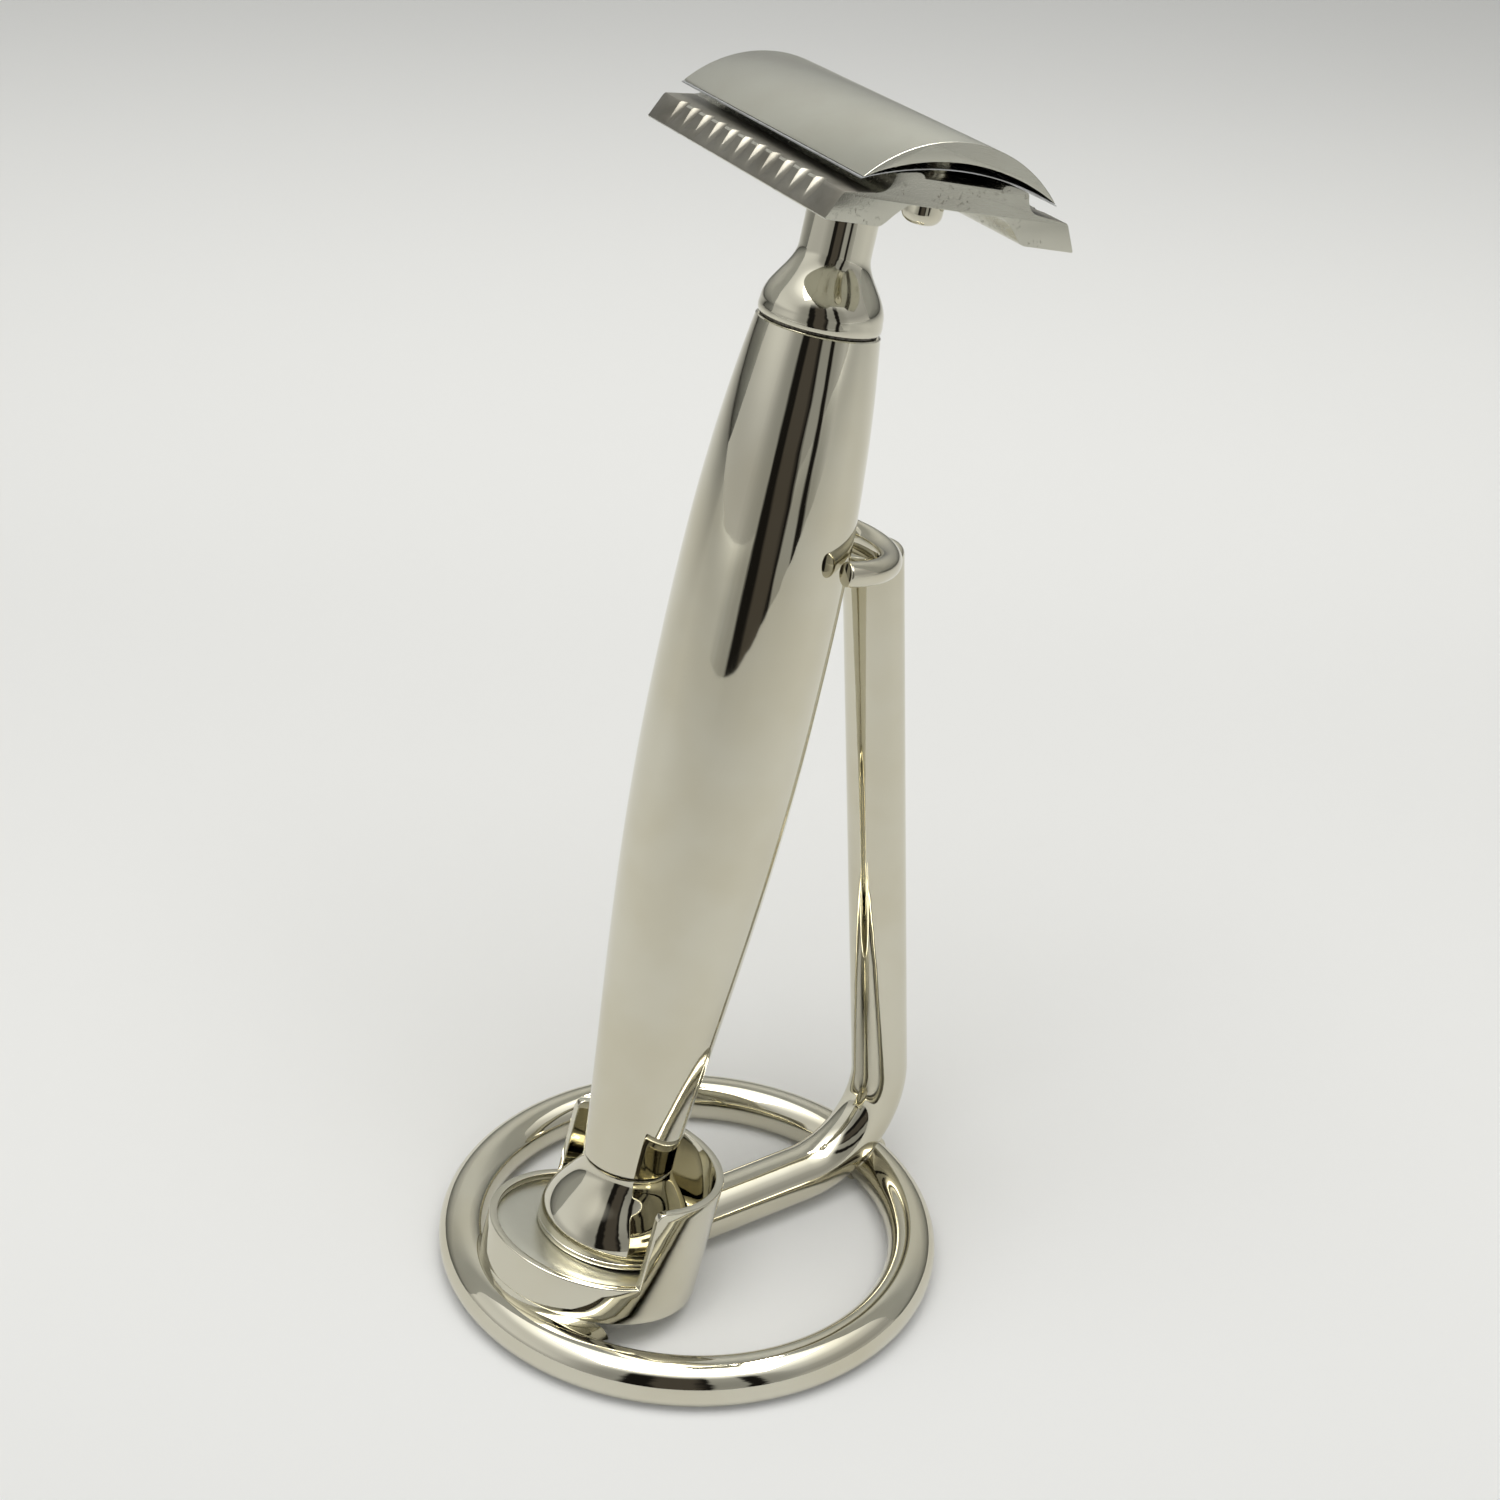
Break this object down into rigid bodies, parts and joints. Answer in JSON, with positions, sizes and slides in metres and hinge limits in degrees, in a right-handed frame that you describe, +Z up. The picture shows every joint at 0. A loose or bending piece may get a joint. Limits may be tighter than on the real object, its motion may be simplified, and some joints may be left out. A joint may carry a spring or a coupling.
{
  "type": "razor stand",
  "caption": "Polished wire razor stand with a tilted foot cup and a leaning post with an open cradle, holding a double edge safety razor with a screw-down cap.",
  "frame": {"origin": "centre of the wire ring, on the table", "axes": "+X from the foot cup to the post, +Z up; the razor and the post lie in the XZ plane"},
  "size_m": [0.0607, 0.0592, 0.1381],
  "materials": {
    "polished_nickel": "warm polished nickel plate, mirror bright",
    "satin_nickel": "warm nickel plate over a fine cast surface, silky satin",
    "seam_steel": "thin dull seam washer, sunk below the surface",
    "blade_steel": "thin ground steel strip",
    "brass_core": "plain turned brass, hidden inside the handle",
    "black_plug": "matt black plug in the foot"
  },
  "bodies": {
    "stand": {"ring_base": "polished_nickel", "support_rod": "polished_nickel", "post_braze": "polished_nickel", "cradle_fork": "polished_nickel", "cup_wall": "polished_nickel", "cup_floor": "satin_nickel", "cup_braze": "polished_nickel"},
    "handle": {"bell_foot": "polished_nickel", "foot_plug": "black_plug", "foot_seam_ring": "seam_steel", "handle_barrel": "polished_nickel", "top_seam_ring": "seam_steel", "top_collar": "polished_nickel", "tie_rod": "brass_core", "lock_nut": "brass_core"},
    "guard": {"guard_plate": "satin_nickel"},
    "blade": {"blade": "blade_steel"},
    "cap": {"cap_plate": "satin_nickel", "cap_stud": "polished_nickel", "cap_pins": "polished_nickel"}
  },
  "joints": [
    {"name": "razor_lift", "type": "slide", "parent": "stand", "child": "handle", "axis": [0, 0, 1], "range_m": [0, 0.095]},
    {"name": "head_turn", "type": "hinge", "parent": "handle", "child": "guard", "pos_m": [0.01257, 0, 0.12913], "axis": [0.1891, 0, 0.982], "range_deg": [0, 2970]},
    {"name": "cap_lift", "type": "slide", "parent": "guard", "child": "cap", "axis": [0.1891, 0, 0.982], "range_m": [0, 0.0066]},
    {"name": "blade_lift", "type": "slide", "parent": "guard", "child": "blade", "axis": [0.1891, 0, 0.982], "range_m": [0, 0.0033]}
  ],
  "couplings": [
    {"joint": "cap_lift", "follows": "head_turn", "m_per_rad": 0.00012732},
    {"joint": "blade_lift", "follows": "head_turn", "m_per_rad": 0.000063662}
  ]
}
